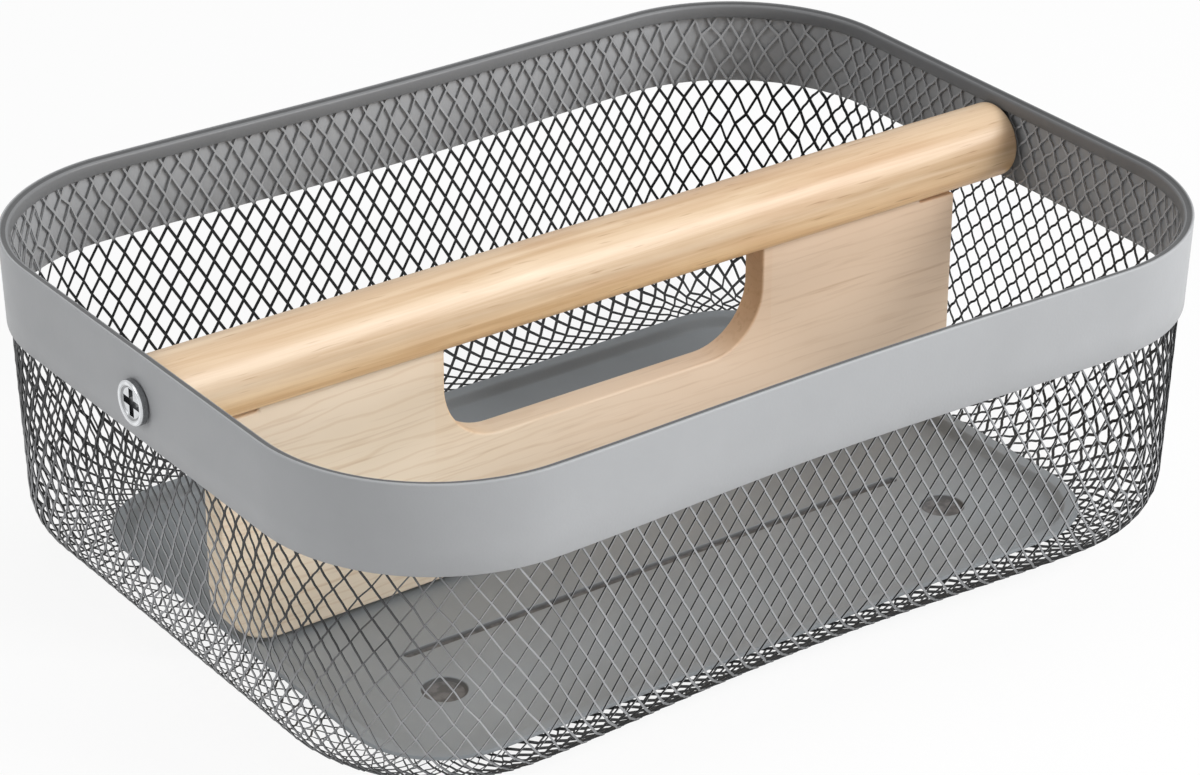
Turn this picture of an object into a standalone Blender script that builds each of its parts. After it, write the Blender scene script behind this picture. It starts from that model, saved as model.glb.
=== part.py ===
"""Mesh storage basket with a wooden carrying handle that divides it in two.

Metres, +Z up. The origin is under the middle of the base, and +X runs along the handle.
"""

import math

import bmesh
import bpy

# Basket outline
LENGTH = 0.350
WIDTH = 0.2675
HEIGHT = 0.118
CORNER_RADIUS = 0.063
CORNER_STEPS = 11
LONG_SIDE_STEPS = 10
RIM_BOW = 0.0020
FOOT_BOW = 0.0068
WALL_LEAN = 0.0030
GAP = 0.0003

# Rim band, a steel strip whose top edge is rolled over the mesh
BAND_HEIGHT = 0.031
BAND_SHEET = 0.0008
HEM_LIP = 0.0052
HEM_STEPS = 4

# Expanded mesh wall
MESH_SHEET = 0.0008
BOND_TILT = 0.0002
STRAND_WIDTH = 0.0014
FOOT_RUN = 0.0285
FOOT_RISE = 0.0215
LONG_COLUMNS = 10
SHORT_COLUMNS = 6
CORNER_COLUMNS = 5
HALF_ROWS = 9
MARGIN_ROOM = 0.0008
MARGIN_END_GAP = 0.0005

# Base plate, a pressed sheet
PLATE_SHEET = 0.0007
PLATE_INSET = 0.031
PLATE_FLANGE = 0.005
RECESS_DEPTH = 0.0042
RECESS_SLOPE = 0.0015
PLATE_STEPS = 6
BEAD_LENGTH = 0.206
BEAD_WIDTH = 0.0048
BEAD_DEPTH = 0.0010
BEAD_SLOPE = 0.0008
BEAD_Y = 0.0353
BEAD_STEPS = 3
DIMPLE_DEPTH = 0.0012
DIMPLE_RADIUS = 0.0085
DIMPLE_SLOPE = 0.0018
DIMPLE_X = 0.103
DIMPLE_Y = 0.0595
DIMPLE_SIDES = 16

# Handle and divider
AXIS_DROP = 0.0172
DOWEL_RADIUS = 0.0132
DOWEL_END_ROUND = 0.0015
DOWEL_SIDES = 32
BOARD_LENGTH = 0.300
BOARD_THICKNESS = 0.010
BOARD_CLEARANCE = 0.0023
BOARD_FOOT_RADIUS = 0.020
BOARD_EDGE_ROUND = 0.0009
TONGUE_END = 0.0155
TONGUE_DEPTH = 0.008
SHOULDER_GAP = 0.0006
SLOT_LENGTH = 0.130
SLOT_DEPTH = 0.0354
SLOT_RADIUS = 0.022

# Pivot screws and the inserts they turn into
SHANK_RADIUS = 0.0025
SHANK_SIDES = 16
HEAD_RADIUS = 0.0075
HEAD_HEIGHT = 0.0024
HEAD_EDGE = 0.0009
CROSS_SPAN = 0.0086
CROSS_ARM = 0.0022
CROSS_DEPTH = 0.0015
INSERT_RADIUS = 0.0042
INSERT_LENGTH = 0.014
SCREW_REACH = 0.019
BORE_CLEARANCE = 0.0004

# Levels and lines worked out from the sizes above
PLATE_UNDERSIDE = DIMPLE_DEPTH
PLATE_TOP = PLATE_UNDERSIDE + PLATE_SHEET
FLANGE_UNDERSIDE = PLATE_UNDERSIDE + RECESS_DEPTH
FLANGE_TOP = FLANGE_UNDERSIDE + PLATE_SHEET
MESH_HALF = MESH_SHEET / 2 + BOND_TILT
MESH_INSET = BAND_SHEET + GAP + MESH_HALF
MESH_FLOOR = FLANGE_UNDERSIDE - GAP - MARGIN_ROOM - MESH_HALF
MESH_FOOT = MESH_FLOOR + FOOT_RISE
MARGIN_END = PLATE_INSET + PLATE_FLANGE - PLATE_SHEET - MARGIN_END_GAP
HEM_WIDTH = 2 * BAND_SHEET + 2 * GAP + 2 * MESH_HALF
AXIS_HEIGHT = HEIGHT - AXIS_DROP
LEAN_SLOPE = WALL_LEAN / (HEIGHT - MESH_FOOT)
DOWEL_END = LENGTH / 2 - BAND_SHEET - GAP - 2 * MESH_HALF - GAP - LEAN_SLOPE * (AXIS_DROP + DOWEL_RADIUS)
HEAD_SEAT = LENGTH / 2 - LEAN_SLOPE * (AXIS_DROP - HEAD_RADIUS) + GAP
DIMPLE_PLACES = [(x * DIMPLE_X, y * DIMPLE_Y) for x in (-1, 1) for y in (-1, 1)]

SEGMENTS = ("right", "corner_back_right", "back", "corner_back_left",
            "left", "corner_front_left", "front", "corner_front_right")


def clear_scene():
    for obj in list(bpy.data.objects):
        bpy.data.objects.remove(obj, do_unlink=True)


def make_material(name, colour, roughness, metallic):
    made = bpy.data.materials.new(name)
    made.use_nodes = True
    shader = made.node_tree.nodes["Principled BSDF"]
    shader.inputs["Base Color"].default_value = (*colour, 1.0)
    shader.inputs["Roughness"].default_value = roughness
    shader.inputs["Metallic"].default_value = metallic
    return made


def grey_paint():
    return make_material("grey_paint", (0.31, 0.32, 0.33), 0.45, 0.0)


def grey_mesh_paint():
    return make_material("grey_mesh_paint", (0.22, 0.23, 0.24), 0.5, 0.0)


def pale_dowel_wood():
    return make_material("pale_dowel_wood", (0.80, 0.61, 0.39), 0.5, 0.0)


def pale_board_wood():
    return make_material("pale_board_wood", (0.78, 0.62, 0.44), 0.55, 0.0)


def zinc():
    return make_material("zinc", (0.72, 0.74, 0.76), 0.3, 1.0)


def brass():
    return make_material("brass", (0.72, 0.56, 0.25), 0.35, 1.0)


def solid(name, vertices, faces, finish, parent=None, smooth=None):
    """Makes one closed body from lists of points and faces, with its faces turned outwards."""
    mesh = bpy.data.meshes.new(name)
    mesh.from_pydata(vertices, [], faces)
    work = bmesh.new()
    work.from_mesh(mesh)
    bmesh.ops.recalc_face_normals(work, faces=work.faces)
    work.to_mesh(mesh)
    work.free()
    if smooth is not None:
        mesh.shade_smooth()
        mesh.set_sharp_from_angle(angle=math.radians(smooth))
    mesh.materials.append(finish)
    obj = bpy.data.objects.new(name, mesh)
    obj.parent = parent
    bpy.context.scene.collection.objects.link(obj)
    return obj


def cutter(obj):
    obj.hide_render = True
    obj.display_type = "WIRE"
    return obj


def boolean(obj, other, operation):
    step = obj.modifiers.new(other.name, "BOOLEAN")
    step.object = other
    step.operation = operation
    step.solver = "EXACT"


def arc(centre, radius, start, end, steps):
    """Points of an arc in a plane, both ends included, with angles in degrees."""
    turns = [math.radians(start + (end - start) * i / steps) for i in range(steps + 1)]
    return [(centre[0] + radius * math.cos(t), centre[1] + radius * math.sin(t)) for t in turns]


def side_bow(height):
    """How far the long sides are drawn in at their middle, at a height on the wall."""
    share = (HEIGHT - height) / (HEIGHT - MESH_FOOT)
    return RIM_BOW + (FOOT_BOW - RIM_BOW) * share


def wall_inset(height):
    """How far the wall has leaned in all round, at a height."""
    return LEAN_SLOPE * (HEIGHT - height)


def plan_point(segment, share, inset, bow):
    """A point of the basket's outline, moved inwards by inset, at a share of one of its segments."""
    along = LENGTH / 2 - CORNER_RADIUS
    across = WIDTH / 2 - CORNER_RADIUS
    radius = CORNER_RADIUS - inset
    quarter = SEGMENTS.index(segment) // 2
    if segment.startswith("corner"):
        centre = [(along, across), (-along, across), (-along, -across), (along, -across)][quarter]
        return arc(centre, radius, 90 * quarter, 90 * (quarter + share), 1)[1]
    run = 2 * share - 1
    if segment in ("back", "front"):
        side = 1 if segment == "back" else -1
        drawn_in = bow * (1 - run * run) ** 2
        return (-side * along * run, side * (across + radius - drawn_in))
    side = 1 if segment == "right" else -1
    return (side * (along + radius), side * across * run)


def ring_stations():
    """The places round the outline at which swept pieces have a section."""
    stations = []
    for segment in SEGMENTS:
        steps = CORNER_STEPS if segment.startswith("corner") else 1
        if segment in ("back", "front"):
            steps = LONG_SIDE_STEPS
        stations += [(segment, i / steps) for i in range(steps)]
    return stations


def band_section():
    """The band's section as points of inset and height: wall, rolled top edge and inner lip."""
    roll = HEM_WIDTH / 2
    inner_roll = roll - BAND_SHEET
    roll_height = HEIGHT - roll
    bottom = HEIGHT - BAND_HEIGHT
    lip_bottom = HEIGHT - HEM_LIP
    outer = arc((roll, roll_height), roll, 180, 0, HEM_STEPS)
    inner = arc((roll, roll_height), inner_roll, 0, 180, HEM_STEPS // 2)
    lip = [(HEM_WIDTH, lip_bottom), (HEM_WIDTH - BAND_SHEET, lip_bottom)]
    return [(0.0, bottom)] + outer + lip + inner + [(BAND_SHEET, bottom)]


def turned(name, profile, finish, sides, parent, side=1, smooth=35):
    """Turns a profile of (distance along X, radius) points about the X axis into a closed solid."""
    vertices = []
    rings = []
    for distance, radius in profile:
        count = sides if radius > 0 else 1
        rings.append([len(vertices) + i for i in range(count)])
        for i in range(count):
            turn = 2 * math.pi * i / sides
            vertices.append((side * distance, radius * math.cos(turn), radius * math.sin(turn)))
    faces = []
    for first, second in zip(rings, rings[1:]):
        for i in range(sides):
            following = (i + 1) % sides
            face = [first[i % len(first)], first[following % len(first)],
                    second[following % len(second)], second[i % len(second)]]
            faces.append(list(dict.fromkeys(face)))
    return solid(name, vertices, faces, finish, parent, smooth)


def box(name, low, high, finish, parent):
    """An upright box between two corners."""
    corners = [(x, y, z) for x in (low[0], high[0]) for y in (low[1], high[1]) for z in (low[2], high[2])]
    faces = [(0, 1, 3, 2), (4, 6, 7, 5), (0, 4, 5, 1), (2, 3, 7, 6), (0, 2, 6, 4), (1, 5, 7, 3)]
    return solid(name, corners, faces, finish, parent)


def rim_band(finish, parent):
    """The steel band round the rim, with a hole in each short side for a pivot screw."""
    section = band_section()
    stations = ring_stations()
    vertices = []
    for segment, share in stations:
        for inset, height in section:
            x, y = plan_point(segment, share, inset + wall_inset(height), side_bow(height))
            vertices.append((x, y, height))
    size = len(section)
    faces = []
    for i in range(len(stations)):
        here = i * size
        there = (i + 1) % len(stations) * size
        for k in range(size):
            after = (k + 1) % size
            faces.append((here + k, there + k, there + after, here + after))
    band = solid("rim_band", vertices, faces, finish, parent, smooth=40)
    hole = [(0.0, 0.0), (0.0, SHANK_RADIUS + BORE_CLEARANCE), (LENGTH, SHANK_RADIUS + BORE_CLEARANCE), (LENGTH, 0.0)]
    for side, word in ((-1, "left"), (1, "right")):
        drill = cutter(turned(f"band_drill_{word}", hole, finish, SHANK_SIDES, None, side))
        drill.location.z = AXIS_HEIGHT
        boolean(band, drill, "DIFFERENCE")
    return band


def foot_bend(turn):
    """The mesh's inset, height and bow on its bend, from 0 at the wall to a right angle at the floor."""
    inset = MESH_INSET + WALL_LEAN + FOOT_RUN * (1 - math.cos(turn))
    return inset, MESH_FOOT - FOOT_RISE * math.sin(turn), FOOT_BOW * math.cos(turn)


def bend_table(steps=60):
    """Lengths along the bend, for placing the mesh's rows at even distances."""
    table = [0.0]
    for i in range(steps):
        first = foot_bend(math.pi / 2 * i / steps)
        second = foot_bend(math.pi / 2 * (i + 1) / steps)
        table.append(table[-1] + math.dist(first[:2], second[:2]))
    return table


BEND_LENGTHS = bend_table()
MARGIN_LENGTH = MARGIN_END - MESH_INSET - WALL_LEAN - FOOT_RUN
HALF_ROW = (AXIS_HEIGHT - MESH_FOOT + BEND_LENGTHS[-1] + MARGIN_LENGTH) / (HALF_ROWS - 1)
MESH_TOP = AXIS_HEIGHT + HALF_ROW


def mesh_line(distance):
    """Inset, height, bow and the outward direction of the mesh, at a distance down from its top edge."""
    wall = MESH_TOP - MESH_FOOT
    if distance <= wall:
        height = MESH_TOP - distance
        return MESH_INSET + wall_inset(height), height, side_bow(height), (-1.0, 0.0)
    distance -= wall
    if distance <= BEND_LENGTHS[-1]:
        steps = len(BEND_LENGTHS) - 1
        place = next(i for i in range(steps) if BEND_LENGTHS[i + 1] >= distance - 1e-12)
        share = (distance - BEND_LENGTHS[place]) / (BEND_LENGTHS[place + 1] - BEND_LENGTHS[place])
        turn = math.pi / 2 * (place + share) / steps
        inset, height, bow = foot_bend(turn)
        out = (-math.cos(turn) * FOOT_RISE, -math.sin(turn) * FOOT_RUN)
        size = math.hypot(*out)
        return inset, height, bow, (out[0] / size, out[1] / size)
    return MARGIN_END - MARGIN_LENGTH + distance - BEND_LENGTHS[-1], MESH_FLOOR, 0.0, (0.0, -1.0)


def lattice(columns, half_rows, bond_width, bond_height):
    """Corner points and flat cells of an expanded sheet, in half columns and half rows.

    A place whose two counts add up to an even number is a bond, and every other place is a
    diamond opening. An opening's corners stop short of the bonds round it. Each cell is a bond
    or one of the strands between two bonds, and shares its corners with its neighbours.
    """
    last = 2 * columns
    offsets = {"up": (0, -1 + bond_height), "down": (0, 1 - bond_height),
               "left": (-1 + bond_width, 0), "right": (1 - bond_width, 0)}
    points = {}

    def corner(i, j, name):
        if not (0 <= i <= last and 0 <= j <= half_rows):
            return None
        points[(i, j, name)] = (i + offsets[name][0], j + offsets[name][1])
        return (i, j, name)

    cells = []
    for i in range(last + 1):
        for j in range(half_rows + 1):
            if (i + j) % 2:
                continue
            bond = [corner(i, j - 1, "down"), corner(i + 1, j, "left"),
                    corner(i, j + 1, "up"), corner(i - 1, j, "right")]
            bond = [place for place in bond if place]
            if len(bond) == 2:
                points[(i, j, "end")] = (i, j)
                bond.append((i, j, "end"))
            cells.append(bond)
            if j < half_rows and i < last:
                cells.append([corner(i + 1, j, "left"), corner(i + 1, j, "down"),
                              corner(i, j + 1, "right"), corner(i, j + 1, "up")])
            if j < half_rows and i > 0:
                cells.append([corner(i - 1, j, "right"), corner(i, j + 1, "up"),
                              corner(i, j + 1, "left"), corner(i - 1, j, "down")])
    return points, cells


def segment_length(segment):
    if segment.startswith("corner"):
        return CORNER_RADIUS * math.pi / 2
    return (LENGTH if segment in ("back", "front") else WIDTH) - 2 * CORNER_RADIUS


def mesh_panel(segment, columns, finish, parent):
    """One side or corner of the mesh: diamond openings between tilted bonds, bent under at its foot."""
    length = segment_length(segment)
    half_column = length / (2 * columns)
    slope = math.hypot(half_column, HALF_ROW)
    bond_width = STRAND_WIDTH / 2 * slope / (half_column * HALF_ROW)
    points, cells = lattice(columns, HALF_ROWS, bond_width, bond_width)
    seam = GAP / 2 / length
    tilts = {"down": BOND_TILT, "up": -BOND_TILT}
    vertices = []
    names = list(points)
    for face_side in (1, -1):
        for name in names:
            i, j = points[name]
            share = min(max(i / (2 * columns), seam), 1 - seam)
            inset, height, bow, out = mesh_line(j * HALF_ROW)
            offset = face_side * MESH_SHEET / 2 + tilts.get(name[2], 0.0)
            x, y = plan_point(segment, share, inset - (-out[0]) * offset, bow)
            vertices.append((x, y, height + out[1] * offset))
    number = {name: place for place, name in enumerate(names)}
    count = len(names)
    faces = []
    edges = {}
    for cell in cells:
        outer = [number[name] for name in cell]
        faces.append(outer)
        faces.append([place + count for place in reversed(outer)])
        for first, second in zip(outer, outer[1:] + outer[:1]):
            edges[frozenset((first, second))] = edges.get(frozenset((first, second)), []) + [(first, second)]
    for uses in edges.values():
        if len(uses) == 1:
            first, second = uses[0]
            faces.append((second, first, first + count, second + count))
    return solid(f"mesh_{segment}", vertices, faces, finish, parent)


def mesh_panels(finish, parent):
    for segment in SEGMENTS:
        columns = SHORT_COLUMNS
        if segment.startswith("corner"):
            columns = CORNER_COLUMNS
        if segment in ("back", "front"):
            columns = LONG_COLUMNS
        mesh_panel(segment, columns, finish, parent)


def rounded_ring(half_length, half_width, radius, height, steps):
    """A level ring of points round a rectangle with round corners."""
    ring = []
    for quarter, (x, y) in enumerate(((1, 1), (-1, 1), (-1, -1), (1, -1))):
        centre = (x * (half_length - radius), y * (half_width - radius))
        ring += arc(centre, radius, 90 * quarter, 90 * quarter + 90, steps)
    return [(x, y, height) for x, y in ring]


def plate_ring(inset, height):
    return rounded_ring(LENGTH / 2 - inset, WIDTH / 2 - inset, CORNER_RADIUS - inset, height, PLATE_STEPS)


def plate_surface(drop, shift):
    """The plate's rings from its edge inwards, for its top face or, lowered and shifted, its underside."""
    inner_edge = PLATE_INSET + PLATE_FLANGE
    return [
        plate_ring(PLATE_INSET, FLANGE_TOP - drop),
        plate_ring(inner_edge - shift, FLANGE_TOP - drop),
        plate_ring(inner_edge + RECESS_SLOPE - shift, PLATE_TOP - drop),
    ]


def dimples(name, radius, low, high, finish, parent):
    """Four tapered round bodies, one at each corner of the plate."""
    vertices = []
    faces = []
    for x, y in DIMPLE_PLACES:
        start = len(vertices)
        for ring_radius, height in ((radius - DIMPLE_SLOPE, low), (radius, high)):
            circle = arc((x, y), ring_radius, 0, 360, DIMPLE_SIDES)[:-1]
            vertices += [(cx, cy, height) for cx, cy in circle]
        for i in range(DIMPLE_SIDES):
            after = (i + 1) % DIMPLE_SIDES
            faces.append((start + i, start + after, start + DIMPLE_SIDES + after, start + DIMPLE_SIDES + i))
        faces.append([start + i for i in reversed(range(DIMPLE_SIDES))])
        faces.append([start + DIMPLE_SIDES + i for i in range(DIMPLE_SIDES)])
    return cutter(solid(name, vertices, faces, finish, parent))


def beads(name, half_width, low, high, finish):
    """Two long tapered bodies with round ends, one on each side of the divider."""
    vertices = []
    faces = []
    for side in (-1, 1):
        start = len(vertices)
        for spread, height in ((-BEAD_SLOPE, low), (0.0, high)):
            reach = half_width + spread
            ring = rounded_ring(BEAD_LENGTH / 2 + spread, reach, reach * 0.999, height, BEAD_STEPS)
            vertices += [(x, side * BEAD_Y + y, z) for x, y, z in ring]
        size = (len(vertices) - start) // 2
        for i in range(size):
            after = (i + 1) % size
            faces.append((start + i, start + after, start + size + after, start + size + i))
        faces.append([start + i for i in reversed(range(size))])
        faces.append([start + size + i for i in range(size)])
    return cutter(solid(name, vertices, faces, finish, None))


def base_plate(finish, parent):
    """The pressed base: a flange over the mesh's margin, a sunk floor, two stiffening beads and four feet."""
    top = plate_surface(0.0, 0.0)
    bottom = plate_surface(PLATE_SHEET, PLATE_SHEET * 0.7)
    rings = top[::-1] + bottom
    size = len(rings[0])
    vertices = [point for ring in rings for point in ring]
    faces = [list(range(size)), [(len(rings) - 1) * size + i for i in reversed(range(size))]]
    for k in range(len(rings) - 1):
        for i in range(size):
            after = (i + 1) % size
            faces.append((k * size + i, k * size + after, (k + 1) * size + after, (k + 1) * size + i))
    plate = solid("base_plate", vertices, faces, finish, parent)
    middle = PLATE_UNDERSIDE + PLATE_SHEET / 2
    outside = dimples("dimple_outsides", DIMPLE_RADIUS, 0.0, middle, finish, None)
    inside = dimples("dimple_insides", DIMPLE_RADIUS - PLATE_SHEET / 2, PLATE_SHEET, PLATE_TOP + GAP, finish, None)
    ridge = beads("bead_outsides", BEAD_WIDTH / 2, PLATE_UNDERSIDE - BEAD_DEPTH, middle, finish)
    groove = beads("bead_insides", BEAD_WIDTH / 2 - PLATE_SHEET / 2, PLATE_TOP - BEAD_DEPTH, PLATE_TOP + GAP, finish)
    boolean(plate, outside, "UNION")
    boolean(plate, ridge, "UNION")
    boolean(plate, inside, "DIFFERENCE")
    boolean(plate, groove, "DIFFERENCE")
    return plate


def dowel(finish, parent):
    """The round handle bar, with a blind bore in each end and two pockets for the board's tongues."""
    bore = INSERT_RADIUS + GAP
    bore_end = DOWEL_END - SCREW_REACH
    edge = arc((DOWEL_END - DOWEL_END_ROUND, DOWEL_RADIUS - DOWEL_END_ROUND), DOWEL_END_ROUND, 0, 90, 3)
    half = [(bore_end, 0.0), (bore_end, bore), (DOWEL_END, bore)] + edge
    profile = [(-distance, radius) for distance, radius in half] + half[::-1]
    bar = turned("handle_dowel", profile, finish, DOWEL_SIDES, parent)
    half_thickness = BOARD_THICKNESS / 2 + GAP
    for side, word in ((-1, "left"), (1, "right")):
        ends = sorted((side * (SLOT_LENGTH / 2 - GAP), side * (BOARD_LENGTH / 2 - TONGUE_END + GAP)))
        low = (ends[0], -half_thickness, -2 * DOWEL_RADIUS)
        high = (ends[1], half_thickness, -DOWEL_RADIUS + TONGUE_DEPTH + GAP)
        boolean(bar, cutter(box(f"tongue_pocket_{word}", low, high, finish, parent)), "DIFFERENCE")
    return bar


def board_outline():
    """The divider's outline in X and in height over the pivot axis, anticlockwise from its lower left corner."""
    half = BOARD_LENGTH / 2
    foot = PLATE_TOP + BOARD_CLEARANCE - AXIS_HEIGHT
    shoulder = -DOWEL_RADIUS - SHOULDER_GAP
    tongue_top = -DOWEL_RADIUS + TONGUE_DEPTH
    tongue = half - TONGUE_END
    slot = SLOT_LENGTH / 2
    slot_foot = -DOWEL_RADIUS - SLOT_DEPTH
    corner = half - BOARD_FOOT_RADIUS
    bend = slot - SLOT_RADIUS
    right = [(half, shoulder), (tongue, shoulder), (tongue, tongue_top), (slot, tongue_top)]
    return (
        arc((-corner, foot + BOARD_FOOT_RADIUS), BOARD_FOOT_RADIUS, 180, 270, 6)
        + arc((corner, foot + BOARD_FOOT_RADIUS), BOARD_FOOT_RADIUS, 270, 360, 6)
        + right
        + arc((bend, slot_foot + SLOT_RADIUS), SLOT_RADIUS, 0, -90, 6)
        + arc((-bend, slot_foot + SLOT_RADIUS), SLOT_RADIUS, -90, -180, 6)
        + [(-x, height) for x, height in reversed(right)]
    )


def divider_board(finish, parent):
    """The board under the bar, with a hand slot open to the bar and a tongue at each side of it."""
    outline = board_outline()
    size = len(outline)
    half = BOARD_THICKNESS / 2
    vertices = [(x, y, height) for y in (-half, half) for x, height in outline]
    faces = [list(range(size)), [size + i for i in reversed(range(size))]]
    for i in range(size):
        after = (i + 1) % size
        faces.append((i, size + i, size + after, after))
    board = solid("divider_board", vertices, faces, finish, parent, smooth=35)
    edge = board.modifiers.new("eased_edges", "BEVEL")
    edge.width = BOARD_EDGE_ROUND
    edge.segments = 2
    edge.limit_method = "ANGLE"
    edge.angle_limit = math.radians(60)
    return board


def pivot_screw(word, side, finish, parent):
    """A screw through the band and the mesh into the bar's end, with a cross recess in its pan head."""
    top = HEAD_SEAT + HEAD_HEIGHT
    edge = arc((top - HEAD_EDGE, HEAD_RADIUS - HEAD_EDGE), HEAD_EDGE, 90, 0, 4)
    profile = [(DOWEL_END - SCREW_REACH + GAP, 0.0), (DOWEL_END - SCREW_REACH + GAP, SHANK_RADIUS),
               (HEAD_SEAT, SHANK_RADIUS), (HEAD_SEAT, HEAD_RADIUS)] + edge + [(top, 0.0)]
    screw = turned(f"pivot_screw_{word}", profile, finish, SHANK_SIDES, parent, side)
    cross = []
    span = CROSS_SPAN / 2
    arm = CROSS_ARM / 2
    for y, z in ((1, 0), (0, 1), (-1, 0), (0, -1)):
        for across, along in ((-arm, span), (arm, span), (arm, arm)):
            cross.append((along * y - across * z, along * z + across * y))
    size = len(cross)
    vertices = [(side * x, y, z) for x in (top - CROSS_DEPTH, top + GAP) for y, z in cross]
    faces = [list(range(size)), [size + i for i in reversed(range(size))]]
    for i in range(size):
        after = (i + 1) % size
        faces.append((i, size + i, size + after, after))
    boolean(screw, cutter(solid(f"cross_{word}", vertices, faces, finish, parent)), "DIFFERENCE")
    return screw


def threaded_insert(word, side, finish, parent):
    """The brass sleeve in the bar's end that the screw turns into, with a collar and two grooves."""
    bore = SHANK_RADIUS + BORE_CLEARANCE
    waist = INSERT_RADIUS - 0.0006
    mouth = DOWEL_END - GAP
    third = INSERT_LENGTH / 3
    profile = [(mouth, bore), (mouth, INSERT_RADIUS), (mouth - third * 0.8, INSERT_RADIUS),
               (mouth - third, waist), (mouth - third * 1.2, INSERT_RADIUS), (mouth - third * 1.8, INSERT_RADIUS),
               (mouth - third * 2, waist), (mouth - third * 2.2, INSERT_RADIUS),
               (mouth - INSERT_LENGTH, INSERT_RADIUS), (mouth - INSERT_LENGTH, bore), (mouth, bore)]
    return turned(f"threaded_insert_{word}", profile, finish, SHANK_SIDES, parent, side)


def make_basket():
    frame = bpy.data.objects.new("basket_frame", None)
    bpy.context.scene.collection.objects.link(frame)
    paint = grey_paint()
    rim_band(paint, frame)
    base_plate(paint, frame)
    mesh_panels(grey_mesh_paint(), frame)


def make_handle():
    pivot = bpy.data.objects.new("handle_axis", None)
    pivot.location = (0.0, 0.0, AXIS_HEIGHT)
    bpy.context.scene.collection.objects.link(pivot)
    dowel(pale_dowel_wood(), pivot)
    divider_board(pale_board_wood(), pivot)
    screw_finish = zinc()
    insert_finish = brass()
    for word, side in (("left", -1), ("right", 1)):
        pivot_screw(word, side, screw_finish, pivot)
        threaded_insert(word, side, insert_finish, pivot)


clear_scene()
make_basket()
make_handle()
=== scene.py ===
from functools import partial
from math import cos, dist, floor, hypot, pi, radians, sin

import bmesh
import bpy
from mathutils import Matrix, Vector, noise


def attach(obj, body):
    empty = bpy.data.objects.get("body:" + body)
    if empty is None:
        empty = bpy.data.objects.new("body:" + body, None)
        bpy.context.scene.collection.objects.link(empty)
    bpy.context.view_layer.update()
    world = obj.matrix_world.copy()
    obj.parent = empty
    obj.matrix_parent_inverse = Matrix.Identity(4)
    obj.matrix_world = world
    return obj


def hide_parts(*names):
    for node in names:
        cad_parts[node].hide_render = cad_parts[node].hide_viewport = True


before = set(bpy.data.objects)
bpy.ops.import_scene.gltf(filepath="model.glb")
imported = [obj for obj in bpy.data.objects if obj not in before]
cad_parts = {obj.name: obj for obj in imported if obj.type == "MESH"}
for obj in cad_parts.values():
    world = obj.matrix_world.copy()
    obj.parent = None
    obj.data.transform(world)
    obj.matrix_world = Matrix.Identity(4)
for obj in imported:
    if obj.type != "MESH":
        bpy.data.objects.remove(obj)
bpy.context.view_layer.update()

# Sizes of the solids, in metres
LENGTH = 0.350
WIDTH = 0.2675
HEIGHT = 0.118
CORNER_RADIUS = 0.063
RIM_BOW = 0.0020
FOOT_BOW = 0.0068
WALL_LEAN = 0.0030
BAND_HEIGHT = 0.031
BAND_SHEET = 0.0008
BAND_BOTTOM = HEIGHT - BAND_HEIGHT
HEM_LIP = 0.0052
HEM_ROLL = 0.0017
MESH_INSET = 0.0017
MESH_FLOOR = 0.0037
FOOT_RUN = 0.0285
FOOT_RISE = 0.0215
MESH_FOOT = MESH_FLOOR + FOOT_RISE
MESH_TOP = 0.1156
MARGIN_END = 0.0348
PLATE_SHEET = 0.0007
PLATE_INSET = 0.031
PLATE_FLANGE = 0.005
FLANGE_TOP = 0.0061
PLATE_TOP = 0.0019
RECESS_SLOPE = 0.0015
BEAD_LENGTH = 0.206
BEAD_WIDTH = 0.0048
BEAD_DEPTH = 0.0010
BEAD_SLOPE = 0.0008
BEAD_Y = 0.0353
DIMPLE_RADIUS = 0.0085
DIMPLE_SLOPE = 0.0018
DIMPLE_X = 0.103
DIMPLE_Y = 0.0595
AXIS_HEIGHT = 0.1008
DOWEL_END = 0.1714
DOWEL_RADIUS = 0.0132
DOWEL_END_ROUND = 0.0015
DOWEL_BOTTOM = AXIS_HEIGHT - DOWEL_RADIUS
INSERT_DEPTH = 0.019
INSERT_RADIUS = 0.0045
FIT_GAP = 0.0003
BOARD_LENGTH = 0.300
BOARD_THICKNESS = 0.010
BOARD_FOOT = 0.0042
BOARD_FOOT_RADIUS = 0.020
TONGUE_END = 0.0155
TONGUE_DEPTH = 0.008
SHOULDER_GAP = 0.0006
SLOT_LENGTH = 0.130
SLOT_DEPTH = 0.0354
SLOT_RADIUS = 0.022
SHANK_START = 0.1537
SHANK_RADIUS = 0.0025
HEAD_RADIUS = 0.0075
HEAD_SEAT = 0.1750
HEAD_HEIGHT = 0.0024
HEAD_TOP = HEAD_SEAT + HEAD_HEIGHT

# Rounded edges and recesses that only the visible model has
HEM_CREST = 0.00045
HEM_FOLD = 0.0009
HEM_VALLEY = 0.0005
GROOVE_EASE = 0.0003
GROOVE_FOOT = 0.0014
BAND_LOW_LINE = 0.010
BAND_HIGH_LINE = 0.008
PLATE_EDGE_EASE = 0.0002
PLATE_SHOULDER = 0.0006
PLATE_BACK_SHIFT = 0.0004
TOOL_OVERLAP = 0.0002
BOARD_EASE = 0.0009
SHANK_CHAMFER = 0.0004
SHANK_CHAMFER_RISE = 0.0003
HEAD_ROUND = 0.0006
HEAD_RIM = 0.0014
RIM_CHAMFER = 0.0004
RIM_CHAMFER_DEPTH = 0.0002
DISH_FLOOR = HEAD_TOP - 0.0007
DISH_RADIUS = 0.0050
CROSS_REACH = 0.0047
CROSS_ARM = 0.0013
CROSS_DEPTH = 0.0012
CROSS_OVERLAP = 0.001
# A round end's share of its half width, just under 1 so that no two points meet
ROUND_END = 0.999

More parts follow.
